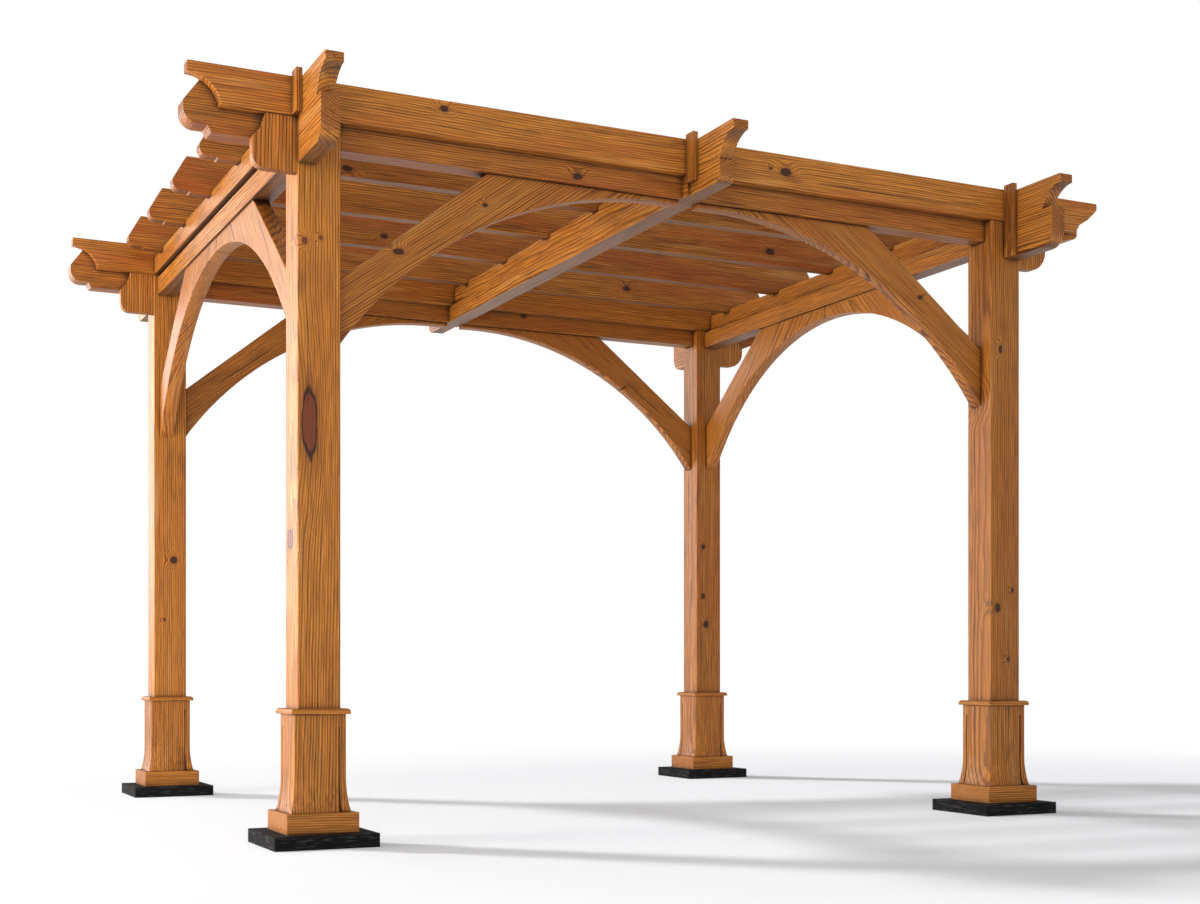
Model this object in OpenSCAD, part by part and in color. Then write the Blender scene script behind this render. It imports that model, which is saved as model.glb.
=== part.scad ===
// Open timber pergola: four posts on pads, lapped roof frame, arched braces.
// Millimetres. Origin on the ground midway between the posts, X along the
// long side, Y from front to back, Z up.

/* [Posts] */
// Distance between post centres along the long side
span_x = 2750; // [2000:10:4200]
// Distance between post centres along the short side
span_y = 2340; // [1800:10:3600]
// Side of the square post
post_w = 140; // [100:5:200]
// Height of the post head above the ground
post_top = 2310; // [1900:10:3200]

/* [Feet] */
// Side of the square pad under each post
pad_w = 340; // [280:5:480]
// Thickness of the pad
pad_h = 44; // [20:1:80]
// How far the plinth stands out beyond the post
plinth_out = 48; // [30:1:70]
// Height of the plinth
plinth_h = 64; // [40:1:110]
// How far the skirt stands out beyond the post at its foot
skirt_out = 27; // [20:1:45]
// How far the skirt stands out beyond the post at its top
skirt_top_out = 14; // [8:1:20]
// Height of the skirt
skirt_h = 312; // [200:1:500]
// Height over which the skirt flares outwards
skirt_flare_h = 110; // [60:5:180]
// Distance of the skirt's upright joint grooves from the middle of its face
groove_at = 62; // [30:1:75]
// Width and depth of a groove
groove = 5; // [2:0.5:7]
// Distance below the skirt's top where a groove ends
groove_down = 40; // [20:1:80]
// How far the cap moulding stands out beyond the post
cap_out = 27; // [18:1:45]
// Height of the cap moulding
cap_h = 18; // [10:1:30]

/* [Long beams] */
// Height of the main beams
main_h = 199; // [150:1:280]
// Thickness of the main beams
main_t = 80; // [50:1:100]
// How far the main beam's front face lies behind the post's front face
main_set = 40; // [25:1:60]
// Length of a main beam beyond the left post's centre
main_over = 420; // [300:5:600]
// Length of a main beam beyond the right post's centre
main_over_right = 398; // [280:2:600]
// Thickness of the facing board on each main beam
facing_t = 45; // [25:1:60]
// Length of a facing board beyond the left post's centre
facing_over = 418; // [320:2:620]
// Length of a facing board beyond the right post's centre
facing_over_right = 462; // [320:2:620]

/* [Roof frame] */
// Height of the rafters and facing boards
roof_h = 123; // [90:1:180]
// Height of the cross plates
plate_h = 112; // [85:1:160]
// Thickness of a rafter
rafter_t = 52; // [45:1:95]
// How much taller a rafter is than a facing board
rafter_extra = 14; // [0:1:40]
// How far inside the post centres the outer rafters' centres lie
rafter_in = 240; // [200:5:320]
// How far a rafter's underside lies above the cross plates' underside
rafter_lift = 62; // [30:1:85]
// How deep a rafter is let into the cross plates
rafter_seat = 14; // [8:1:40]
// Length of a rafter beyond the post centre
rafter_over = 215; // [180:5:340]
// Thickness of the cross plates and of the noses under them
plate_t = 60; // [40:1:80]
// Thickness of the middle cross beam
middle_t = 80; // [60:1:100]
// Length of a cross plate beyond the post centre
plate_over = 372; // [300:2:480]
// Height of the lower cross beams
cross_h = 90; // [70:1:120]
// Height of the middle cross beam
cross_mid_h = 76; // [60:1:76]
// Thickness of the left and right cross beams
cross_t = 80; // [50:1:95]
// How far a side cross beam's outer face lies inside the post's outer face
cross_set = 15; // [0:1:40]
// Height of the shadow line between a cross beam and the plate above it
reveal_h = 14; // [6:1:30]
// Depth of that shadow line
reveal_d = 22; // [8:1:28]
// Length of the rounded noses beyond the post centre
nose_over = 328; // [220:2:400]
// Height of the rounded noses in front of and behind the corner posts
nose_h = 145; // [110:1:170]
// Length of the middle cross beam beyond the post centre
cross_mid_over = 280; // [200:5:360]

/* [Shaped ends] */
// Radius of the hollow cut under the tips
cove_r = 105; // [80:1:150]
// Height of the square tip above the hollow
tip_h = 32; // [20:1:60]
// Radius of the rounding under a nose at the corner posts
nose_r = 62; // [40:1:100]
// Radius of the rounding under a nose of the middle cross beam
nose_mid_r = 36; // [20:1:60]

/* [Corbels] */
// How far a left corbel stands out beyond the post
corbel_out = 144; // [90:1:200]
// How far a right corbel stands out beyond the post
corbel_out_right = 134; // [90:1:200]
// Radius of the lower corner of a left corbel
corbel_r = 40; // [20:1:80]
// Radius of the lower corner of a right corbel
corbel_r_right = 78; // [20:1:80]
// Height of a corbel
corbel_h = 176; // [120:1:240]
// Thickness of a corbel
corbel_t = 36; // [20:1:40]

/* [Braces] */
// Thickness of the arched braces
brace_t = 60; // [40:1:70]
// Distance below the post head where the brace leaves the post
brace_drop = 498; // [350:1:650]
// Height of the brace where it stands on the post
brace_foot = 222; // [120:1:300]
// Distance from the post face where the brace reaches the beam
brace_reach = 530; // [380:1:640]
// Thickness of the front and back arches at their crown
crown_x = 14; // [8:1:40]
// Distance of that crown from the middle of the long side
crown_x_at = 115; // [40:1:250]
// Thickness of the side arches at their crown
crown_y = 52; // [20:1:80]
// Gap where the two side braces meet
brace_gap = 2; // [1:0.5:6]

/* [Collar battens] */
// Width of a batten
batten_w = 20; // [10:1:30]
// Depth of a batten from front to back
batten_t = 52; // [20:1:80]
// How far a batten rises above the roof frame
batten_up = 14; // [0:1:30]
// How far the middle batten reaches below the roof frame
batten_down = 34; // [10:1:60]

/* [Hidden] */

$fn = 96;
e = 1;
wood = "#b4733a";
wood_dark = "#8f5527";
wood_light = "#d39a5c";

x_post = span_x / 2;
y_post = span_y / 2;
half = post_w / 2;
x_face = x_post - half;
y_face = y_post - half;

// levels
plinth_z = pad_h;
skirt_z = pad_h + plinth_h;
cap_z = skirt_z + skirt_h;
roof_z = post_top;
roof_top = roof_z + roof_h;
plate_top = roof_z + plate_h;
lap_z = roof_z + plate_h / 2;
main_z = roof_top - main_h;
cross_z = roof_z - cross_h;
cross_mid_z = roof_z - cross_mid_h;

// places across the depth, measured from a post centre
main_y0 = main_set - half;
main_y1 = main_y0 + main_t;
facing_y0 = main_y0 - facing_t;
brace_y0 = main_y1 - brace_t;

// cross members: plates flush with the posts' outer faces, beams set in
plate_x = x_post + half - plate_t / 2;
cross_x = x_post + half - cross_set - cross_t / 2;

// rafters, evenly spaced between the outer two
rafter_n = 5;
rafter_pitch = (span_y - 2 * rafter_in) / (rafter_n - 1);
rafter_z = roof_z + rafter_lift;
function rafter_y(i) = (i - (rafter_n + 1) / 2) * rafter_pitch - rafter_t / 2;

// ---------------------------------------------------------------- helpers

// extrude an outline drawn in X-Z over the thickness y0..y1
module along_y(y0, y1)
  translate([0, y1, 0]) rotate([90, 0, 0]) linear_extrude(height = y1 - y0) children();

// extrude an outline drawn in Y-Z over the thickness x0..x1
module along_x(x0, x1)
  translate([x0, 0, 0]) rotate([90, 0, 90]) linear_extrude(height = x1 - x0) children();

// square tip with a hollow cut below, cut side to the left, bar from 0 to l
module cove_bar(l0, l1, z0, h) {
  difference() {
    translate([l0, z0]) square([l1 - l0, h]);
    translate([l0, z0 + h - tip_h - cove_r]) circle(r = cove_r);
    mirror([1, 0]) translate([-l1, z0 + h - tip_h - cove_r]) circle(r = cove_r);
  }
}

// beaked nose: sloped above, rounded below, with a small step behind
module beak_cut(x, z0, h, slope_x, slope_z, r, step_x, step_z)
  polygon(concat(
    [[x - e, z0 + h + e], [x + slope_x + slope_x * e / slope_z, z0 + h + e], [x, z0 + h - slope_z], [x, z0 + step_z + r]],
    [for (i = [1 : 8]) let (a = 180 + i * 90 / 8) [x + r + r * cos(a), z0 + step_z + r + r * sin(a)]],
    [[x + step_x, z0 + step_z], [x + step_x + step_z * 0.6, z0 - e], [x - e, z0 - e]]));

// full bar with a beaked nose at both ends
module beak_bar(l, z0, h, slope_x, slope_z, r, step_x, step_z)
  difference() {
    translate([-l, z0]) square([2 * l, h]);
    beak_cut(-l, z0, h, slope_x, slope_z, r, step_x, step_z);
    mirror([1, 0]) beak_cut(-l, z0, h, slope_x, slope_z, r, step_x, step_z);
  }

// square block round the post, outline given half-width by half-width
module square_ring(z, h) {
  difference() {
    intersection() {
      along_y(-300, 300) children();
      along_x(-300, 300) children();
    }
    translate([-half, -half, z - e]) cube([post_w, post_w, h + 2 * e]);
  }
}

module at_post(sx, sy) translate([sx * x_post, sy * y_post, 0]) children();

// ---------------------------------------------------------------- feet

module pad() color("#33302f")
  translate([-pad_w / 2, -pad_w / 2, 0]) cube([pad_w, pad_w, pad_h]);

module plinth() color(wood) {
  w = post_w + 2 * plinth_out;
  difference() {
    translate([-w / 2, -w / 2, plinth_z]) cube([w, w, plinth_h]);
    translate([-half, -half, plinth_z - e]) cube([post_w, post_w, plinth_h + 2 * e]);
  }
}

// upright outline of the skirt: straight above, hollow flare below
module skirt_outline() {
  lo = half + skirt_out;
  hi = half + skirt_top_out;
  d = lo - hi;
  r = (d * d + skirt_flare_h * skirt_flare_h) / (2 * d);
  difference() {
    translate([-lo, skirt_z]) square([2 * lo, skirt_h]);
    for (s = [-1, 1]) {
      translate([s * (hi + r), skirt_z + skirt_flare_h]) circle(r = r, $fn = 256);
      translate([s > 0 ? hi : -hi - 2 * d, skirt_z + skirt_flare_h]) square([2 * d, skirt_h]);
    }
  }
}

module skirt() color(wood)
  difference() {
    square_ring(skirt_z, skirt_h) skirt_outline();
    // a joint on each side, next to the back left and front right corners
    for (a = [0 : 3]) rotate([0, 0, 90 * a])
      translate([(a % 2 == 0 ? -1 : 1) * groove_at - groove / 2, half + skirt_top_out - groove, skirt_z - e])
        cube([groove, skirt_out + e, skirt_h - groove_down + e]);
  }

// cap moulding with a sloped top edge
module cap_outline() {
  w = half + cap_out;
  s = cap_h / 3;
  polygon([[-w, cap_z], [w, cap_z], [w, cap_z + cap_h - s], [w - s, cap_z + cap_h],
           [-w + s, cap_z + cap_h], [-w, cap_z + cap_h - s]]);
}

module cap() color(wood_light) square_ring(cap_z, cap_h) cap_outline();

// ---------------------------------------------------------------- posts

// square post with an open slot in its head for the main beam
module post() color(wood)
  difference() {
    translate([-half, -half, pad_h]) cube([post_w, post_w, post_top - pad_h]);
    translate([-half - e, main_y0, main_z]) cube([post_w + 2 * e, main_t, post_top]);
  }

// ---------------------------------------------------------------- long beams

// notches from the top for the three cross plates
module plate_notches(y0, y1)
  for (x = [-plate_x, 0, plate_x])
    translate([x - plate_t / 2, y0 - e, lap_z]) cube([plate_t, y1 - y0 + 2 * e, roof_h]);

// main beam: beaked nose on the left, tapered below on the right, where the
// facing board hides it
module main_outline() {
  x0 = -x_post - main_over;
  x1 = x_post + main_over_right;
  difference() {
    translate([x0, main_z]) square([x1 - x0, main_h]);
    beak_cut(x0, main_z, main_h, 80, 108, 44, 74, 22);
    polygon([[x1 + e, roof_z - 4], [x1, roof_z - 4], [x1 - 12, roof_z - 16], [x1 - 60, roof_z - 24],
             [x1 - 190, main_z], [x1 - 190, main_z - e], [x1 + e, main_z - e]]);
  }
}

module main_beam(y) color(wood)
  translate([0, y, 0]) difference() {
    along_y(main_y0, main_y1) main_outline();
    plate_notches(main_y0, main_y1);
    // the middle cross beam passes below
    translate([-middle_t / 2, main_y0 - e, main_z - e]) cube([middle_t, main_t + 2 * e, roof_z - main_z + e]);
  }

// facing board: hollow under the left tip, sloped nose on the right
module facing_outline() {
  x0 = -x_post - facing_over;
  x1 = x_post + facing_over_right;
  difference() {
    translate([x0, roof_z]) square([x1 - x0, roof_h]);
    translate([x0, roof_top - tip_h - cove_r]) circle(r = cove_r);
    polygon([[x1 + e, roof_top - tip_h * 0.75], [x1, roof_top - tip_h * 0.75], [x1 - 6, roof_top - tip_h],
             [x1 - 46, roof_top - 68], [x1 - 92, roof_top - 96], [x1 - 94, roof_top - 106],
             [x1 - 112, roof_z], [x1 - 112, roof_z - e], [x1 + e, roof_z - e]]);
  }
}

module facing_board(y) color(wood)
  translate([0, y, 0]) difference() {
    along_y(facing_y0, main_y0) facing_outline();
    plate_notches(facing_y0, main_y0);
  }

// ---------------------------------------------------------------- rafters

module rafter(i) color(wood)
  along_y(rafter_y(i), rafter_y(i) + rafter_t)
    beak_bar(x_post + rafter_over, rafter_z, roof_h + rafter_extra, 52, 92, 26, 62, 6);

// ---------------------------------------------------------------- cross members

// one plate: hollow-cut tips front and back, housed from the top for the
// rafters and lapped from below over the main beams and facing boards
module cross_plate(x) color(wood_light) {
  t = plate_t;
  difference() {
    along_x(x - t / 2, x + t / 2)
      cove_bar(-y_post - plate_over, y_post + plate_over, roof_z, plate_h);
    for (i = [1 : rafter_n])
      translate([x - t, rafter_y(i), rafter_z]) cube([2 * t, rafter_t, roof_h + rafter_extra]);
    // between the main beams the plate is planed down to a shallow seat
    translate([x - t, -y_post + main_y1, rafter_z + rafter_seat])
      cube([2 * t, span_y + facing_y0 - main_y1, roof_h]);
    for (s = [-1, 1])
      translate([x - t, s * y_post + facing_y0, roof_z - e]) cube([2 * t, facing_t + main_t, lap_z - roof_z + e]);
  }
}

// rounded nose outline in Y-Z from y0 (root) out to y1 (tip, towards -Y)
module nose_outline(y0, y1, z0, h, r)
  difference() {
    translate([y1, z0]) square([y0 - y1, h]);
    difference() {
      translate([y1 - e, z0 - e]) square([r + e, r + e]);
      translate([y1 + r, z0 + r]) circle(r = r);
    }
  }

// nose in front of the post at -Y, under the plate at x
module nose(x, y0, over, h, r)
  along_x(x - plate_t / 2, x + plate_t / 2) nose_outline(y0, -y_post - over, roof_z - h, h, r);

// side cross beam between the posts, with a shadow line under the plate and
// its noses in front and behind
module cross_beam_side(s) color(wood_light) {
  difference() {
    translate([s * cross_x - cross_t / 2, -y_face, cross_z]) cube([cross_t, 2 * y_face, cross_h]);
    for (k = [-1, 1])
      translate([s * cross_x + (k > 0 ? cross_t / 2 - reveal_d : -cross_t / 2 - e), -y_face - e, cross_z + cross_h - reveal_h])
        cube([reveal_d + e, 2 * y_face + 2 * e, reveal_h + e]);
  }
  for (k = [0, 1]) mirror([0, k, 0]) nose(s * plate_x, -y_post - half, nose_over, nose_h, nose_r);
}

// middle cross beam, in one length, its noses as thin as the plate above
module cross_beam_mid() color(wood_light) {
  translate([-middle_t / 2, -y_post - half, cross_mid_z]) cube([middle_t, span_y + post_w, cross_mid_h]);
  for (k = [0, 1]) mirror([0, k, 0]) nose(0, -y_post, cross_mid_over, cross_mid_h, nose_mid_r);
}

// ---------------------------------------------------------------- corbels

// outline of a left corbel: rounded below, notched above
module corbel_outline(out, r) {
  t = -out;
  b = post_top - corbel_h;
  translate([-half, 0])
    polygon(concat(
      [[0, post_top], [t + 42, post_top], [t + 31, post_top - 45], [t, post_top - 80], [t, b + r]],
      [for (i = [1 : 6]) let (a = 180 + i * 15) [t + r + r * cos(a), b + r + r * sin(a)]],
      [[0, b]]));
}

module corbels(y) color(wood_dark) translate([0, y, 0]) {
  translate([-x_post, 0, 0]) along_y(main_y0 - corbel_t, main_y0) corbel_outline(corbel_out, corbel_r);
  mirror([1, 0, 0]) translate([-x_post, 0, 0])
    along_y(main_y0 - corbel_t, main_y0) corbel_outline(corbel_out_right, corbel_r_right);
}

// ---------------------------------------------------------------- braces

// brace outline from the post face at u = 0 towards the middle at u = l;
// crown: level of the arch's highest point, at distance c from the post face
module brace_outline(l, top, crown, c) {
  foot = post_top - brace_drop - brace_foot;
  dz = top - crown - foot;
  r = (c * c + dz * dz) / (2 * dz);
  difference() {
    polygon([[0, foot], [0, foot + brace_foot], [brace_reach, top], [l, top], [l, foot]]);
    translate([c, top - crown - r]) circle(r = r, $fn = 360);
  }
}

module braces_long(y) color(wood)
  translate([0, y, 0]) for (s = [0, 1]) mirror([s, 0, 0])
    translate([-x_face, 0, 0]) along_y(brace_y0, main_y1)
      brace_outline(x_face - middle_t / 2, main_z, crown_x, x_face - crown_x_at);

module brace_side(sx, sy) color(wood_light)
  translate([sx * cross_x, 0, 0]) mirror([0, sy > 0 ? 1 : 0, 0])
    translate([0, -y_face, 0]) along_x(-brace_t / 2, brace_t / 2)
      brace_outline(y_face - brace_gap / 2, cross_z, crown_y, y_face - brace_gap / 2);

// ---------------------------------------------------------------- battens

// batten against the left side of the plate at x, reaching down below the
// roof frame by the given length
module batten(x, down)
  translate([x - plate_t / 2 - batten_w, -y_post + facing_y0 - batten_t, roof_z - down])
    cube([batten_w, batten_t, roof_h + down + batten_up]);

module collar_battens() color(wood_dark) {
  batten(-plate_x, 0);
  batten(0, batten_down);
  batten(plate_x, nose_h);
}

// ---------------------------------------------------------------- assembly

at_post(-1, -1) pad();  // pad_front_left
at_post(1, -1) pad();  // pad_front_right
at_post(-1, 1) pad();  // pad_back_left
at_post(1, 1) pad();  // pad_back_right
at_post(-1, -1) plinth();  // plinth_front_left
at_post(1, -1) plinth();  // plinth_front_right
at_post(-1, 1) plinth();  // plinth_back_left
at_post(1, 1) plinth();  // plinth_back_right
at_post(-1, -1) skirt();  // skirt_front_left
at_post(1, -1) skirt();  // skirt_front_right
at_post(-1, 1) skirt();  // skirt_back_left
at_post(1, 1) skirt();  // skirt_back_right
at_post(-1, -1) cap();  // cap_front_left
at_post(1, -1) cap();  // cap_front_right
at_post(-1, 1) cap();  // cap_back_left
at_post(1, 1) cap();  // cap_back_right
at_post(-1, -1) post();  // post_front_left
at_post(1, -1) post();  // post_front_right
at_post(-1, 1) post();  // post_back_left
at_post(1, 1) post();  // post_back_right
main_beam(-y_post);  // main_beam_front
main_beam(y_post);  // main_beam_back
facing_board(-y_post);  // facing_board_front
facing_board(y_post);  // facing_board_back
rafter(1);  // rafter_1
rafter(2);  // rafter_2
rafter(3);  // rafter_3
rafter(4);  // rafter_4
rafter(5);  // rafter_5
cross_plate(-plate_x);  // cross_plate_left
cross_plate(0);  // cross_plate_middle
cross_plate(plate_x);  // cross_plate_right
cross_beam_side(-1);  // cross_beam_left
cross_beam_mid();  // cross_beam_middle
cross_beam_side(1);  // cross_beam_right
corbels(-y_post);  // corbels_front
corbels(y_post);  // corbels_back
braces_long(-y_post);  // braces_front
braces_long(y_post);  // braces_back
brace_side(-1, -1);  // brace_left_front
brace_side(-1, 1);  // brace_left_back
brace_side(1, -1);  // brace_right_front
brace_side(1, 1);  // brace_right_back
collar_battens();
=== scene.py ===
# %% [markdown]
# # A timber pergola, piece by piece
# The frame of this pergola is already made: posts, beams, rafters, braces and
# feet stand in place, in metres, with +Z up. What is left for Blender is what
# makes them wood: the saw-rounded edges, the growth rings, the knots, the
# cracks and the oil that darkened them, and a quiet studio to look at it in.

# %% Load the frame
import bpy
from math import radians
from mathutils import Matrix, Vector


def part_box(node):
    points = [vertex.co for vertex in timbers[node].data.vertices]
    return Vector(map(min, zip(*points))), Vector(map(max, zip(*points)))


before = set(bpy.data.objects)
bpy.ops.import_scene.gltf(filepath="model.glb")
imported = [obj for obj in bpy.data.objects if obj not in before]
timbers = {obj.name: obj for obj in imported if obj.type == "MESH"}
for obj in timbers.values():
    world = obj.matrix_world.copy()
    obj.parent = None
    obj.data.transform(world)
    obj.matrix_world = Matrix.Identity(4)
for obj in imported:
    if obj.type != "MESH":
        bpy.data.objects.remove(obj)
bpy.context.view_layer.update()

# %% [markdown]
# ## The eye
# A camera sits low, about knee height, off the front left corner, so the roof
# is seen from underneath. It could be tilted up to take the roof in, but then
# the posts would lean together. So the body stays level and the lens is
# shifted up instead, as is usual for pictures of buildings, and Blender's
# camera has the same shift.

# %% Camera
view_camera = bpy.data.cameras.new("view_camera")
view_camera.lens = 49.6
view_camera.sensor_width = 36.0
view_camera.shift_x = -0.0036
view_camera.shift_y = 0.1787
view_camera.dof.use_dof = False
eye = bpy.data.objects.new("eye", view_camera)
eye.location = (-2.864, -6.359, 0.572)
eye.rotation_euler = (radians(90), 0.0, radians(-26.0))
bpy.context.scene.collection.objects.link(eye)
bpy.context.scene.camera = eye
print("eye at", eye.location[:])

# %% [markdown]
# ## Small helpers for node trees
# Every finish below is a tree of nodes. Wiring each one by hand takes three
# lines: make the node, set its values, link its inputs. `wire` does the three
# at once, and takes either a plain value or another node's output for each
# input, so a recipe reads from left to right like a sentence. The others are
# one-node shorthands: numbers, vectors, a smooth ramp and a colour over another.

# %% Node helpers
def fill(tree, socket, value):
    """Set a socket to a plain value, or link another node's output to it."""
    if isinstance(value, bpy.types.NodeSocket):
        tree.links.new(value, socket)
    else:
        socket.default_value = value


def wire(tree, kind, inputs=None, **settings):
    """Add a node, set its properties, then fill its inputs with values or links."""
    node = tree.nodes.new(kind)
    for name, value in settings.items():
        setattr(node, name, value)
    for key, value in (inputs or {}).items():
        fill(tree, node.inputs[key], value)
    return node


def sums(tree, operation, a, b=0.0, c=0.0):
    """One Math node."""
    return wire(tree, "ShaderNodeMath", {0: a, 1: b, 2: c}, operation=operation).outputs[0]


def moved(tree, operation, a, b=(0, 0, 0)):
    """One Vector Math node that gives a vector."""
    return wire(tree, "ShaderNodeVectorMath", {0: a, 1: b}, operation=operation).outputs[0]


def length(tree, vector):
    return wire(tree, "ShaderNodeVectorMath", {0: vector}, operation="LENGTH").outputs["Value"]


def fade(tree, value, start, end, low=0.0, high=1.0):
    """A smooth ramp: low at start, high at end."""
    return wire(tree, "ShaderNodeMapRange", {0: value, 1: start, 2: end, 3: low, 4: high},
                interpolation_type="SMOOTHSTEP").outputs[0]


def tint(tree, amount, under, over, blend="MIX"):
    """One colour laid over another."""
    node = wire(tree, "ShaderNodeMix", data_type="RGBA", blend_type=blend)
    for place, value in ((0, amount), (6, under), (7, over)):
        fill(tree, node.inputs[place], value)
    return node.outputs[2]


print("helpers ready")

# %% [markdown]
# ## Two kinds of noise
# Wood is stretched along its length, so its noise has to be too. The space is
# squeezed before the noise is read: few wiggles along, many across. `streaks`
# gives one number, for colour and cracks. `wander` gives a vector round zero,
# and pushes a line off its course.

# %% Streaks and wander
def cloud(tree, place, detail, roughness):
    return wire(tree, "ShaderNodeTexNoise",
                {"Vector": place, "Scale": 1.0, "Detail": detail, "Roughness": roughness})


def streaks(tree, place, squeeze, detail, roughness):
    return cloud(tree, moved(tree, "MULTIPLY", place, squeeze), detail, roughness).outputs["Fac"]


def wander(tree, place, squeeze, detail, reach):
    drift = cloud(tree, moved(tree, "MULTIPLY", place, squeeze), detail, 0.5).outputs["Color"]
    return moved(tree, "MULTIPLY", moved(tree, "SUBTRACT", drift, (0.5, 0.5, 0.5)), reach)


print("noise ready")

# %% [markdown]
# ## Sockets
# A node group is a small machine with named ends. In Blender the ends belong
# to the group's interface, and are added before anything is wired to them.

# %% An empty node group
def empty_group(name, numbers, vectors, outs):
    """A node group with number and vector inputs, number outputs, and its two end nodes."""
    group = bpy.data.node_groups.new(name, "ShaderNodeTree")
    for kind, names in (("NodeSocketVector", vectors), ("NodeSocketFloat", numbers)):
        for end in names:
            group.interface.new_socket(end, in_out="INPUT", socket_type=kind)
    for end in outs:
        group.interface.new_socket(end, in_out="OUTPUT", socket_type="NodeSocketFloat")
    return group, group.nodes.new("NodeGroupInput").outputs, group.nodes.new("NodeGroupOutput").inputs


def hand_out(group, ends, values):
    for name, value in values.items():
        group.links.new(value, ends[name])
    print(group.name, "has", len(group.nodes), "nodes")


print("group helpers ready")

# %% [markdown]
# ## Growth rings
# A sawn timber shows the rings of the log it came from. On a face along the
# log they run as near straight lines, on the end as arcs, and where the log
# was bent they close into long flames. A striped texture on each face could
# imitate one of these, but not all three, and it would break at the corners.
# All of it comes for free if the rings are made in space, as thin shells round
# a heart line, and the timber simply cuts them. So this group measures the
# distance from a wandering heart line that runs along X.

# %% A wandering heart line
rings, ring_in, ring_out = empty_group("growth_rings", ("Ring Width", "Shift"), ("Grain",),
                                       ("Late", "Fibre", "Board", "Relief"))
grain = ring_in["Grain"]
bend = wander(rings, grain, (0.55, 2.2, 2.2), 1.0, (0.0, 0.055, 0.055))
shake = wander(rings, grain, (4.0, 22.0, 22.0), 2.0, (0.0, 0.013, 0.013))
heart_line = moved(rings, "ADD", moved(rings, "ADD", grain, bend), shake)
reach = length(rings, moved(rings, "MULTIPLY", heart_line, (0.0, 1.0, 1.0)))
print("heart line bends up to", 0.055 / 2, "m")

# %% [markdown]
# Distance divided by the ring width counts the years. The fraction that is
# left over is the season: it rises slowly from pale spring wood to a hard dark
# line and drops sharply, as winter stops the tree. A random number for each
# year makes some lines weaker. Fibres and broad patches of tone are added with
# the squeezed noise, and the relief is mostly the hard lines.

# %% Years, seasons and fibres
count = sums(rings, "ADD", sums(rings, "DIVIDE", reach, ring_in["Ring Width"]), ring_in["Shift"])
season = sums(rings, "FRACT", count)
rise = fade(rings, season, 0.30, 0.86)
fall = fade(rings, season, 0.93, 1.0, 1.0, 0.0)
year = sums(rings, "FLOOR", count)
luck = wire(rings, "ShaderNodeTexWhiteNoise", {"W": year}, noise_dimensions="1D").outputs["Value"]
line = sums(rings, "MULTIPLY", rise, fall)
late = sums(rings, "MULTIPLY", line, sums(rings, "MULTIPLY_ADD", luck, 0.55, 0.45))
fibre = streaks(rings, grain, (7.0, 300.0, 300.0), 3.0, 0.6)
board = streaks(rings, grain, (1.1, 9.0, 9.0), 3.0, 0.55)
relief = sums(rings, "MULTIPLY_ADD", fibre, 0.35, sums(rings, "MULTIPLY", late, 0.65))
hand_out(rings, ring_out, {"Late": late, "Fibre": fibre, "Board": board, "Relief": relief})

# %% [markdown]
# ## Knots
# A knot is a branch that the trunk grew round. On the board it is an oval
# with a bark-black rim, and the trunk's rings swerve past it. Random dots
# would put knots anywhere; here each one is placed one by one, as a ball in
# space that the board's face cuts. The group gives the oval, its rim, the
# stained halo, and how far the rings are pushed aside.

# %% A knot as a node group
branch, knot_in, knot_out = empty_group("knot", (), ("Place", "Centre", "Size"),
                                        ("Oval", "Rim", "Halo", "Push"))
from_core = moved(branch, "SUBTRACT", knot_in["Place"], knot_in["Centre"])
local = moved(branch, "DIVIDE", from_core, knot_in["Size"])
own = moved(branch, "ADD", local, moved(branch, "MULTIPLY", knot_in["Centre"], (7.0, 7.0, 7.0)))
ragged = wander(branch, own, (1.1, 1.1, 1.1), 3.0, (0.7, 0.7, 0.7))
far = length(branch, moved(branch, "ADD", local, ragged))
rim = sums(branch, "MULTIPLY", fade(branch, far, 0.80, 0.96), fade(branch, far, 1.18, 1.0))
hand_out(branch, knot_out, {"Oval": fade(branch, far, 1.04, 0.9), "Rim": rim,
                            "Halo": fade(branch, far, 2.2, 0.9), "Push": fade(branch, far, 4.2, 0.7)})

# %% [markdown]
# ## Oiled softwood
# One recipe makes every timber, so that they look like one load of wood from
# one yard. Its colours are those a finisher would name: honey wood with amber
# lines, russet where the oil soaked in, straw where the sun bleached it, and
# bark in cracks. Two of them stand for shade: a dark underside colour paints
# shade on faces that look down, and the bark colour also paints shade into the
# seams. `shaded` gives the same wood a little darker, for a board from another
# log; the darker, the redder.

# %% Colours of the wood
HONEY = (0.600, 0.222, 0.027)
AMBER = (0.115, 0.026, 0.004)
RUSSET = (0.420, 0.100, 0.012)
# Painted shade for faces that look down:
UNDERSIDE_SHADE = (0.095, 0.044, 0.022)
STRAW = (0.700, 0.380, 0.120)
KNOT_RED = (0.170, 0.034, 0.012)
KNOT_DARK = (0.035, 0.010, 0.005)
# Bark colour, for cracks and knot rims, and also used as painted shade in the seams:
BARK_AND_SHADE = (0.014, 0.006, 0.004, 1.0)


def shaded(colour, tone):
    red, green, blue = colour
    return (red * (1 - tone), green * (1 - 1.15 * tone), blue * (1 - 1.3 * tone), 1.0)


print("honey wood", shaded(HONEY, 0.0), "and a darker board", shaded(HONEY, 0.2))

# %% [markdown]
# ## Laying a timber along its log
# The rings run along X, but posts stand and plates run front to back. So each
# piece takes its own middle as zero, is turned until its length lies along X,
# and is set a hand's width off the heart of the log. `heart` gives that offset:
# first along the log, for variety, then across it. `mirror` folds the two
# halves of a pair together, so that a left and a right brace have matching
# grain.

# %% Turn and place
TURN = {"x": (0, 0, 0), "y": (0, 0, radians(-90)), "z": (0, radians(90), 0)}


def middle(name):
    low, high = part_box(name)
    return (low + high) / 2


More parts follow.
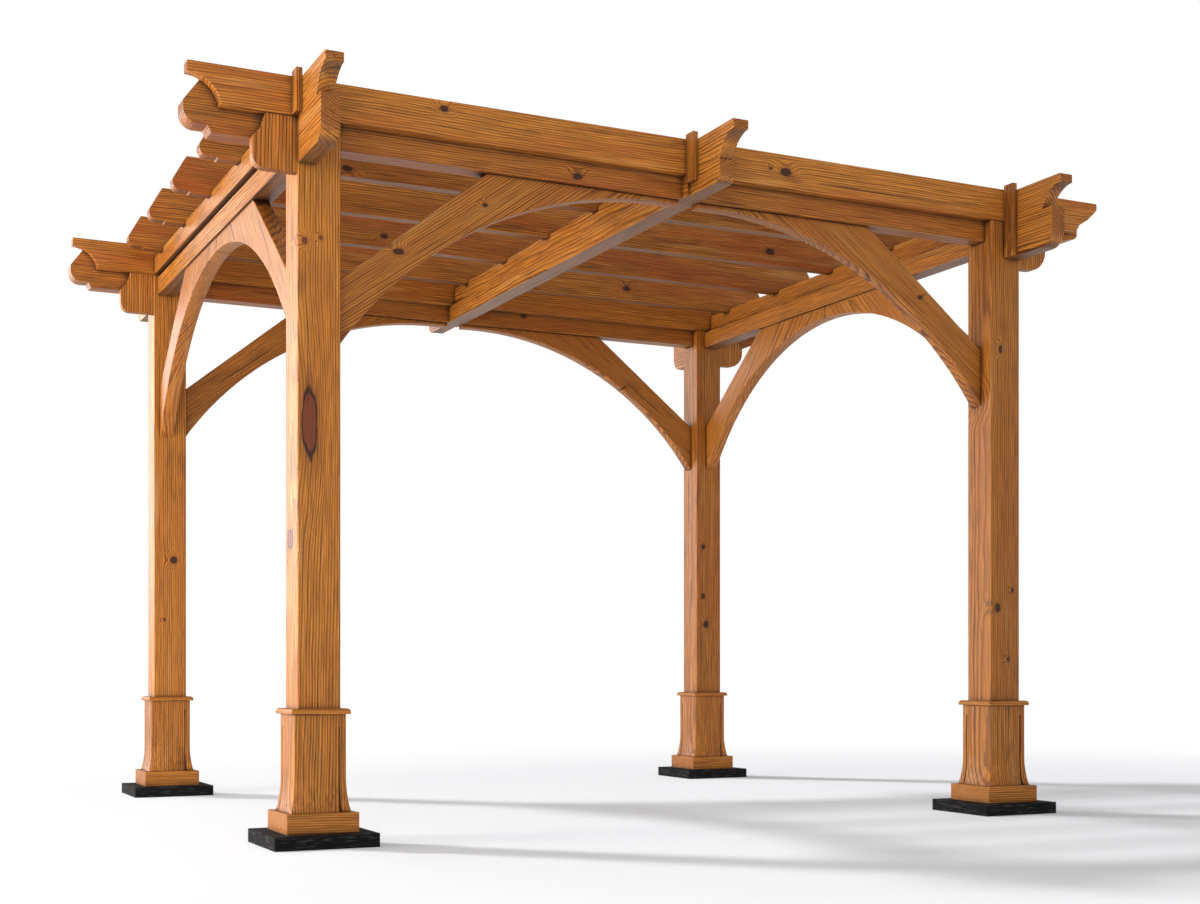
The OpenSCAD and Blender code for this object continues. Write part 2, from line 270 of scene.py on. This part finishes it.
def lay_along(tree, place, centre, turn, heart, mirror):
    path = moved(tree, "ABSOLUTE", place) if mirror else place
    path = moved(tree, "SUBTRACT", path, tuple(centre))
    path = wire(tree, "ShaderNodeMapping", {"Vector": path, "Rotation": turn}, vector_type="POINT").outputs[0]
    return moved(tree, "ADD", path, heart)


print("front left post's middle", middle("post_front_left")[:])

# %% [markdown]
# ## Placing knots
# Each knot is five numbers: where it lies, half its length along the grain
# and half its width across. It goes 30 mm into the wood. Several are laid over
# one another by taking the strongest mark at each point.

# %% Lay the knots
KNOT_DEPTH = 0.03
MARKS = ("Oval", "Rim", "Halo", "Push")


def lay_knots(tree, place, knots, along):
    marks = {}
    for x, y, z, long, wide in knots:
        one = wire(tree, "ShaderNodeGroup", node_tree=branch)
        size = {"x": (long, KNOT_DEPTH, wide), "y": (KNOT_DEPTH, long, wide),
                "z": (wide, KNOT_DEPTH, long)}[along]
        for end, value in (("Place", place), ("Centre", (x, y, z)), ("Size", size)):
            fill(tree, one.inputs[end], value)
        for mark in MARKS:
            mine = one.outputs[mark]
            marks[mark] = sums(tree, "MAXIMUM", marks[mark], mine) if mark in marks else mine
    return marks


print("a knot goes", KNOT_DEPTH, "m deep and leaves", MARKS)

# %% [markdown]
# ## The colour of clean wood
# Colour goes on in the order in which it came to the real timber: the rings
# first, then the patches where oil soaked in, then the fibres, which lighten
# and darken everything a little, and last stains and bleached streaks.

# %% Clean wood
FIBRE_PLAY = 0.46


def clean_wood(tree, path, grown, tone, contrast, red):
    line = sums(tree, "MULTIPLY", grown["Late"], contrast)
    colour = tint(tree, line, shaded(HONEY, tone), shaded(AMBER, tone))
    colour = tint(tree, fade(tree, grown["Board"], 0.40, 0.70, 0.0, red), colour, shaded(RUSSET, tone))
    light = fade(tree, grown["Fibre"], 0.28, 0.72, 1.0 - FIBRE_PLAY, 1.0 + FIBRE_PLAY / 2)
    light = wire(tree, "ShaderNodeCombineColor", {0: light, 1: light, 2: light}).outputs[0]
    colour = tint(tree, 1.0, colour, light, "MULTIPLY")
    stain = streaks(tree, path, (2.6, 14.0, 14.0), 4.0, 0.6)
    colour = tint(tree, fade(tree, stain, 0.56, 0.74, 0.0, 0.55), colour, shaded(AMBER, tone))
    bleach = streaks(tree, path, (1.8, 26.0, 26.0), 2.0, 0.5)
    return tint(tree, fade(tree, bleach, 0.58, 0.78, 0.0, 0.35), colour, shaded(STRAW, tone))


print("fibres darken the wood by up to", FIBRE_PLAY)

# %% [markdown]
# ## What the years add, and painted shade
# Undersides are darkened with painted shade, cut ends drink more oil and go
# dark, and knots stand out. Seams where two timbers meet get painted shade
# too. The face's direction tells undersides and ends apart, and Ambient
# Occlusion finds the seams, because it asks how much of the nearby space is
# filled. A piece whose grain turns with it has no ends to darken, so `ends`
# can be None.

# %% Weathered wood and painted shade
SEAM_SHADE_REACH = 0.035


def weathered_and_shaded(tree, colour, facing, tone, under, ends, marks, knot_colour):
    sides = wire(tree, "ShaderNodeSeparateXYZ", {0: facing})
    # Painted shade: faces that look down are darkened by the under amount.
    colour = tint(tree, fade(tree, sides.outputs[2], -0.6, -0.95, 0.0, under), colour, shaded(UNDERSIDE_SHADE, tone))
    if ends is not None:
        cut = sums(tree, "ABSOLUTE", sides.outputs["xyz".index(ends)])
        colour = tint(tree, fade(tree, cut, 0.75, 0.97, 0.0, 0.45), colour, shaded(AMBER, tone))
    if marks:
        coats = (("Halo", 0.5, shaded(AMBER, tone)), ("Oval", 0.92, knot_colour + (1.0,)), ("Rim", 0.9, BARK_AND_SHADE))
        for mark, amount, over in coats:
            colour = tint(tree, sums(tree, "MULTIPLY", marks[mark], amount), colour, over)
    # Painted shade: Ambient Occlusion darkens the seams and inner corners towards the bark colour.
    seam = wire(tree, "ShaderNodeAmbientOcclusion", {"Distance": SEAM_SHADE_REACH}, samples=6).outputs["AO"]
    return tint(tree, fade(tree, seam, 0.80, 0.30, 0.0, 0.80), colour, BARK_AND_SHADE)


# How far the painted seam shade reaches:
print("dirt reaches", SEAM_SHADE_REACH, "m out of a seam")

# %% [markdown]
# ## The whole recipe
# The rings, the knots, the two coats of colour and the cracks come together
# in one material. The bump follows the rings, because the hard lines stand a
# little proud after planing, and drops into the cracks. Oil shines more where
# the fibres are dense, so the same fibres drive the roughness. The shine's
# strength is one number for the whole surface, and so it is set on the shader.

# %% The timber finish
RINGS_PUSHED = 2.6
WOOD_SHINE = 0.34
PROUD = 0.0016


def new_finish(name):
    finish = bpy.data.materials.new(name)
    finish.use_nodes = True
    finish.node_tree.nodes.clear()
    return finish, finish.node_tree


# under is how strongly painted shade darkens the faces that look down.
def timber(name, along, centre, heart, ring, tone, knots=(), turn=None, mirror=False,
           red=0.35, contrast=0.9, under=0.2, knot_colour=KNOT_DARK):
    """Oiled wood whose grain runs along one axis; knots are (x, y, z, half length, half width)."""
    finish, tree = new_finish(name)
    here = wire(tree, "ShaderNodeTexCoord").outputs
    path = lay_along(tree, here["Object"], centre, turn or TURN[along], heart, mirror)
    marks = lay_knots(tree, here["Object"], knots, along)
    log = wire(tree, "ShaderNodeGroup", node_tree=rings)
    fill(tree, log.inputs["Grain"], path)
    fill(tree, log.inputs["Ring Width"], ring)
    if marks:
        fill(tree, log.inputs["Shift"], sums(tree, "MULTIPLY", marks["Push"], RINGS_PUSHED))
    grown = log.outputs

    colour = clean_wood(tree, path, grown, tone, contrast, red)
    colour = weathered_and_shaded(tree, colour, here["Normal"], tone, under, None if turn else along, marks, knot_colour)
    crack = fade(tree, streaks(tree, path, (1.6, 70.0, 70.0), 1.0, 0.4), 0.735, 0.765)
    colour = tint(tree, sums(tree, "MULTIPLY", crack, 0.55), colour, BARK_AND_SHADE)

    height = sums(tree, "SUBTRACT", grown["Relief"], sums(tree, "MULTIPLY", crack, 1.5))
    bump = wire(tree, "ShaderNodeBump", {"Strength": 0.6, "Distance": PROUD, "Height": height}).outputs[0]
    rough = fade(tree, grown["Fibre"], 0.2, 0.8, 0.56, 0.40)
    shader = wire(tree, "ShaderNodeBsdfPrincipled", {"Base Color": colour, "Roughness": rough, "Normal": bump})
    shader.inputs["Specular IOR Level"].default_value = WOOD_SHINE
    wire(tree, "ShaderNodeOutputMaterial", {"Surface": shader.outputs[0]})
    return finish


def finish_with(finish, *names):
    for name in names:
        skin = timbers[name].data.materials
        skin.clear()
        skin.append(finish)


print("timber recipe ready")

# %% [markdown]
# ## Softened edges
# No sawn timber has a razor edge: the planer, the sander and a few years take
# two or three millimetres off. The frame's mesh keeps its exact shape, so the
# rounding goes on as modifiers: Weld closes the seams between faces, Bevel
# rounds only the edges that turn by more than thirty degrees, and so leaves
# the sweep of an arch alone. Each kind of piece has its own radius, in metres,
# by the first word of its name.

# %% Round the edges
EDGE = {"post": 0.005, "main": 0.004, "facing": 0.003, "rafter": 0.004, "cross": 0.004, "corbels": 0.004,
        "brace": 0.004, "braces": 0.004, "collar": 0.002, "plinth": 0.003, "skirt": 0.0015, "cap": 0.003,
        "pad": 0.004}
for name, piece in timbers.items():
    weld = piece.modifiers.new("close_seams", "WELD")
    weld.merge_threshold = 0.00005
    round_over = piece.modifiers.new("round_over", "BEVEL")
    round_over.width = EDGE[name.split("_")[0]]
    round_over.segments = 2
    round_over.limit_method = "ANGLE"
    round_over.angle_limit = radians(30)
    round_over.harden_normals = True
print("rounded", len(timbers), "pieces")

# %% [markdown]
# ## Posts
# Each post is one square timber on end, so its grain stands upright. Its log's
# heart lies off to one side, and so the front cuts the rings squarely and
# shows close upright lines, while the left side shows broad calm patches. The
# front left one carries a long dead knot at eye height; the others have small
# round ones in a row. The two right posts came from darker wood. Each entry
# is the heart, the tone and the knots.

# %% Post finishes
POST_RING = 0.0092
POSTS = {
    "post_front_left": ((0.3, 0.050, 0.130), 0.0, [
        (-1.406, -1.24, 1.345, 0.108, 0.0235), (-1.422, -1.24, 1.92, 0.010, 0.008),
        (-1.370, -1.24, 1.935, 0.006, 0.005), (-1.445, -1.15, 0.98, 0.030, 0.012)]),
    "post_front_right": ((4.1, 0.070, 0.140), 0.24, [
        (1.338, -1.24, 0.80, 0.015, 0.011), (1.41, -1.24, 0.87, 0.008, 0.006),
        (1.39, -1.24, 0.60, 0.008, 0.006), (1.352, -1.24, 1.81, 0.014, 0.007),
        (1.305, -1.15, 1.62, 0.03, 0.012)]),
    "post_back_right": ((7.7, 0.060, 0.120), 0.24, [
        (1.342, 1.10, 1.19, 0.012, 0.010), (1.342, 1.10, 0.935, 0.012, 0.010),
        (1.36, 1.10, 0.79, 0.016, 0.013)]),
    "post_back_left": ((2.9, 0.040, 0.130), 0.04, [
        (-1.36, 1.10, 1.045, 0.014, 0.014), (-1.40, 1.10, 0.78, 0.006, 0.005)]),
}
for name, (heart, tone, knots) in POSTS.items():
    core = KNOT_RED if name == "post_front_left" else KNOT_DARK
    wood = timber(name + "_wood", "z", middle(name), heart, POST_RING, tone, knots, knot_colour=core)
    finish_with(wood, name)
print("posts finished")

# %% [markdown]
# ## Long beams
# Front and back each have a main beam and, on its face, a thinner board of the
# same run. Both lie flat, so their grain runs left to right. Their hearts lie
# well above or below, which gives straight lines along the face. The boards
# are paler than the beams and carry a few dark knots.

# %% Beam and board finishes
BEAM_RING = 0.0088
LONG = {
    "facing_board_front": ((0.9, 0.030, 0.150), 0.04, [
        (0.365, -1.245, 2.370, 0.020, 0.013), (-0.955, -1.245, 2.405, 0.013, 0.009),
        (0.300, -1.245, 2.375, 0.006, 0.004)]),
    "facing_board_back": ((5.2, 0.030, -0.150), 0.10, [(-0.5, 1.095, 2.36, 0.012, 0.008)]),
    "main_beam_front": ((3.3, 0.040, 0.170), 0.22, [(-0.45, -1.2, 2.26, 0.016, 0.010)]),
    "main_beam_back": ((8.8, 0.050, 0.160), 0.24, [
        (0.35, 1.14, 2.30, 0.014, 0.010), (-0.75, 1.14, 2.33, 0.012, 0.009)]),
}
for name, (heart, tone, knots) in LONG.items():
    wood = timber(name + "_wood", "x", middle(name), heart, BEAM_RING, tone, knots, red=0.65)
    finish_with(wood, name)
print("long beams finished")

# %% [markdown]
# ## Rafters
# Five rafters are let into the plates. Seen from below, their fronts are half
# in shade, so small changes of tone and ring width from one to the next are
# what tell them apart, and oil that soaked in unevenly makes them redder than
# the rest. One finish for all five would repeat its knots in a row.

# %% Rafter finishes
RAFTERS = {
    "rafter_1": ((1.7, 0.050, 0.120), 0.12, 0.0086, [(0.46, -0.97, 2.41, 0.020, 0.014)]),
    "rafter_2": ((6.1, 0.040, -0.110), 0.18, 0.0080, [
        (0.75, -0.505, 2.43, 0.018, 0.013), (-1.05, -0.505, 2.40, 0.020, 0.010)]),
    "rafter_3": ((9.4, 0.050, 0.100), 0.14, 0.0094, [
        (-0.46, -0.04, 2.42, 0.014, 0.010), (1.05, -0.04, 2.43, 0.022, 0.014)]),
    "rafter_4": ((2.2, 0.060, -0.120), 0.20, 0.0084, [
        (-0.60, 0.425, 2.42, 0.016, 0.011), (0.30, 0.425, 2.44, 0.012, 0.009)]),
    "rafter_5": ((4.9, 0.050, 0.120), 0.16, 0.0090, [(0.80, 0.89, 2.43, 0.018, 0.012)]),
}
for name, (heart, tone, ring, knots) in RAFTERS.items():
    # under=0.6 paints shade on the rafters' undersides.
    wood = timber(name + "_wood", "x", middle(name), heart, ring, tone, knots, red=0.85, under=0.6)
    finish_with(wood, name)
print("rafters finished")

# %% [markdown]
# ## Cross members
# The plates and the beams below them run from front to back. Their shaped
# noses catch the light from the left, and there the rings show as clear
# slanting lines, so this wood is paler with strong rings. Nearly all that is
# seen of the middle one from below is its underside, which is darkened with
# painted shade.

# %% Plate and cross beam finishes
CROSS = {
    "cross_plate_left": ((1.2, 0.030, 0.130), 0.0), "cross_plate_middle": ((5.6, 0.060, 0.080), 0.02),
    "cross_plate_right": ((8.3, -0.040, 0.090), 0.10), "cross_beam_left": ((3.7, 0.040, -0.120), 0.0),
    "cross_beam_middle": ((6.6, 0.050, 0.070), 0.02), "cross_beam_right": ((9.9, -0.060, 0.080), 0.10),
}
for name, (heart, tone) in CROSS.items():
    # under=0.75 paints shade on the undersides.
    wood = timber(name + "_wood", "y", middle(name), heart, BEAM_RING, tone,
                  red=0.3, contrast=1.0, under=0.75)
    finish_with(wood, name)
print("cross members finished")

# %% [markdown]
# ## Corbels and battens
# The corbels stand on end, cut from wide boards, and their rings come out as
# dark upright lines, the boldest grain on the whole frame. Left and right ones
# are one piece of the frame, and `mirror` gives both the same wood.

# %% Corbel and batten finishes
CORBEL_RING, BATTEN_RING = 0.0105, 0.006
for name, y in (("corbels_front", 1.218), ("corbels_back", 1.122)):
    wood = timber(name + "_wood", "z", (1.51, y, 2.22), (0.6, 0.050, 0.120), CORBEL_RING, 0.08,
                  mirror=True, contrast=1.0)
    finish_with(wood, name)
batten_wood = timber("collar_battens_wood", "z", middle("collar_battens"),
                     (2.4, 0.05, 0.05), BATTEN_RING, 0.12)
finish_with(batten_wood, "collar_battens")
print("corbels and battens finished")

# %% [markdown]
# ## Braces
# A brace is sawn from a wide board laid slantwise between post and beam, so
# that the short arch keeps its strength. The grain therefore follows the
# slant and not the curve, and is cut through along the arch. Bending the grain
# round the arch would look like steamed wood. Only the turn that is passed to
# the recipe changes.

# %% Long brace finishes
BRACE_RING = 0.0085
SLANT_FRONT, SLANT_SIDE = radians(36), radians(47)
LONG_BRACES = {
    "braces_front": [(-1.09, -1.18, 1.935, 0.016, 0.009), (-0.785, -1.18, 2.125, 0.009, 0.006),
                     (1.012, -1.18, 1.99, 0.010, 0.007)],
    "braces_back": [(0.90, 1.16, 1.98, 0.010, 0.007)],
}
for name, knots in LONG_BRACES.items():
    centre = (0.9, abs(middle(name).y), 1.95)
    wood = timber(name + "_wood", "x", centre, (0.8, 0.030, 0.110), BRACE_RING, 0.22, knots,
                  turn=(0, -SLANT_FRONT, 0), mirror=True, contrast=1.0)
    finish_with(wood, name)
print("long braces finished")

# %% Side brace finishes
SIDE_BRACES = {"brace_left_front": (1.5, 0.09, 0.03), "brace_left_back": (4.4, 0.08, -0.04),
               "brace_right_front": (7.2, 0.07, 0.05), "brace_right_back": (2.8, 0.09, -0.03)}
for name, heart in SIDE_BRACES.items():
    centre = tuple(abs(c) for c in middle(name))
    wood = timber(name + "_wood", "y", centre, heart, BRACE_RING, 0.12,
                  turn=(SLANT_SIDE, 0, radians(-90)), mirror=True)
    finish_with(wood, name)
print("side braces finished")

# %% [markdown]
# ## Feet
# Four boards wrap each post in a skirt that flares at the bottom; a moulded
# cap closes it above and a plinth below. The skirt's grain stands upright like
# the post's. The plinth's and cap's runs left to right; they are mitred on the
# real foot and show no cut ends, so they are given a turn and skip the dark
# ends.

# %% Foot finishes
FEET = {"front_left": (0.02, 0.0), "front_right": (0.10, 1.3),
        "back_left": (0.06, 2.6), "back_right": (0.08, 3.9)}
MOULDING_RING = 0.0075
FOOT_PIECES = {
    "skirt": ("z", (0.09, 0.13), POST_RING, 0.08, 1.0),
    "plinth": ("x", (0.06, 0.17), MOULDING_RING, 0.04, 0.9),
    "cap": ("x", (0.08, 0.16), MOULDING_RING, 0.02, 0.9),
}
for corner, (tone, along_log) in FEET.items():
    for kind, (along, off_heart, ring, darker, contrast) in FOOT_PIECES.items():
        name = kind + "_" + corner
        wood = timber(name + "_wood", along, middle(name), (along_log,) + off_heart, ring, tone + darker,
                      turn=None if kind == "skirt" else TURN["x"], contrast=contrast)
        finish_with(wood, name)
print("feet finished")

# %% [markdown]
# ## Pads
# Under each plinth lies a square of pressed rubber crumb. It is black, dull
# and rough, with a layered edge. Small cells make the crumb, and noise that is
# squeezed in height makes the layers on its sides. Both go into the bump,
# because on so dark a thing only the light on its ridges shows.

# %% Black pads
def pressed_rubber():
    finish, tree = new_finish("black_pad")
    place = wire(tree, "ShaderNodeTexCoord").outputs["Object"]
    layer = streaks(tree, place, (18.0, 18.0, 150.0), 4.0, 0.6)
    crumb = wire(tree, "ShaderNodeTexVoronoi", {"Vector": place, "Scale": 260.0}).outputs["Distance"]
    height = sums(tree, "ADD", sums(tree, "MULTIPLY", layer, 2.2), crumb)
    colour = tint(tree, fade(tree, layer, 0.50, 0.68), (0.0035, 0.0034, 0.0042, 1), (0.050, 0.048, 0.050, 1))
    bump = wire(tree, "ShaderNodeBump", {"Strength": 1.0, "Distance": 0.006, "Height": height}).outputs[0]
    shader = wire(tree, "ShaderNodeBsdfPrincipled", {"Base Color": colour, "Normal": bump})
    shader.inputs["Roughness"].default_value = 0.78
    shader.inputs["Specular IOR Level"].default_value = 0.22
    wire(tree, "ShaderNodeOutputMaterial", {"Surface": shader.outputs[0]})
    return finish


finish_with(pressed_rubber(), *[name for name in timbers if name.startswith("pad_")])
print("pads finished")

# %% [markdown]
# ## Studio floor
# A pale floor that turns to pure white far away, so that no horizon shows.
# Close to the pergola it is half a matt paint, which takes shadows, and half
# a faint glow, which keeps those shadows light as in a white room. A white
# floor alone would either burn out or turn grey. The floor is staged, so it
# isn't counted as part of the pergola.

# %% Floor
bpy.ops.mesh.primitive_plane_add(size=80.0, location=(0, 0, 0))
floor = bpy.context.object
floor.name = "studio_floor"
paint, tree = new_finish("floor_paint")
spot = wire(tree, "ShaderNodeTexCoord").outputs["Object"]
away = length(tree, moved(tree, "SUBTRACT", spot, (1.2, -0.6, 0)))
matt = wire(tree, "ShaderNodeBsdfDiffuse", {"Color": (0.79, 0.80, 0.83, 1)})
glow = wire(tree, "ShaderNodeEmission", {"Color": (0.97, 0.98, 1.02, 1), "Strength": 0.40})
bright = wire(tree, "ShaderNodeEmission", {"Color": (1, 1, 1, 1), "Strength": 1.02})
near = wire(tree, "ShaderNodeMixShader", {0: 0.5, 1: matt.outputs[0], 2: glow.outputs[0]})
edge = fade(tree, away, 1.8, 6.2)
ground = wire(tree, "ShaderNodeMixShader", {0: edge, 1: near.outputs[0], 2: bright.outputs[0]})
wire(tree, "ShaderNodeOutputMaterial", {"Surface": ground.outputs[0]})
floor.data.materials.append(paint)
print("floor laid")

# %% [markdown]
# ## White room
# White comes from all round, but weakly, so that the inside of the roof stays
# darker than the outside. What is seen behind the pergola is full white; what
# lights it is about half of that. The world's shader can tell the two apart.

# %% World
sky = bpy.data.worlds.new("white_room")
bpy.context.scene.world = sky
sky.use_nodes = True
tree = sky.node_tree
tree.nodes.clear()
seen = wire(tree, "ShaderNodeBackground", {"Color": (1, 1, 1, 1), "Strength": 1.0})
felt = wire(tree, "ShaderNodeBackground", {"Color": (1, 1, 1, 1), "Strength": 0.55})
ray = wire(tree, "ShaderNodeLightPath").outputs["Is Camera Ray"]
both = wire(tree, "ShaderNodeMixShader", {0: ray, 1: felt.outputs[0], 2: seen.outputs[0]})
wire(tree, "ShaderNodeOutputWorld", {"Surface": both.outputs[0]})
print("white room lit")

# %% [markdown]
# ## Soft windows
# Large rectangular lamps stand in for windows. A wide one on the left lights
# every left side, one behind gives the planed wood its pale sheen, one in
# front fills the shade, and a small warm one shines through the left bay onto
# the middle beam. Each is its place, what it looks at, its width and height,
# its watts and its colour.

# %% Windows
from mathutils import Vector

WINDOWS = {
    "left_window": ((-9.5, 0.0, 2.6), (0, 0, 1.7), 7.0, 4.0, 290, (1.0, 0.93, 0.84)),
    "back_window": ((-5.6, 11.5, 3.2), (0, 0, 1.5), 7.0, 4.5, 560, (1.0, 0.97, 0.93)),
    "front_window": ((-5.5, -9.5, 3.0), (0, 0, 1.6), 4.0, 3.0, 240, (1.0, 0.97, 0.93)),
    "bay_window": ((-6.2, -0.6, 0.9), (0.2, -0.1, 2.3), 1.1, 0.8, 175, (1.0, 0.90, 0.76)),
}
for name, (place, aim, width, height, watts, colour) in WINDOWS.items():
    lamp = bpy.data.lights.new(name, "AREA")
    lamp.shape, lamp.size, lamp.size_y = "RECTANGLE", width, height
    lamp.energy, lamp.color = watts, colour
    holder = bpy.data.objects.new(name, lamp)
    holder.location = place
    holder.rotation_euler = (Vector(aim) - Vector(place)).to_track_quat("-Z", "Y").to_euler()
    bpy.context.scene.collection.objects.link(holder)
print("windows:", list(WINDOWS))

# %% [markdown]
# ## Low sun
# A sun from the back left draws the shadows on the floor, soft at the edges
# because it is six degrees wide. It is linked to the floor alone: on the wood
# its edges under the rafters would hide the grain. The plain view transform
# keeps the white room white.

# %% Sun
key = bpy.data.lights.new("low_sun", "SUN")
key.energy = 4.0
key.angle = radians(6.0)
low_sun = bpy.data.objects.new("low_sun", key)
low_sun.rotation_euler = (radians(46), 0, radians(-136))
bpy.context.scene.collection.objects.link(low_sun)
lit_by_sun = bpy.data.collections.new("lit_by_sun")
lit_by_sun.objects.link(floor)
low_sun.light_linking.receiver_collection = lit_by_sun
bpy.context.scene.view_settings.view_transform = "Standard"
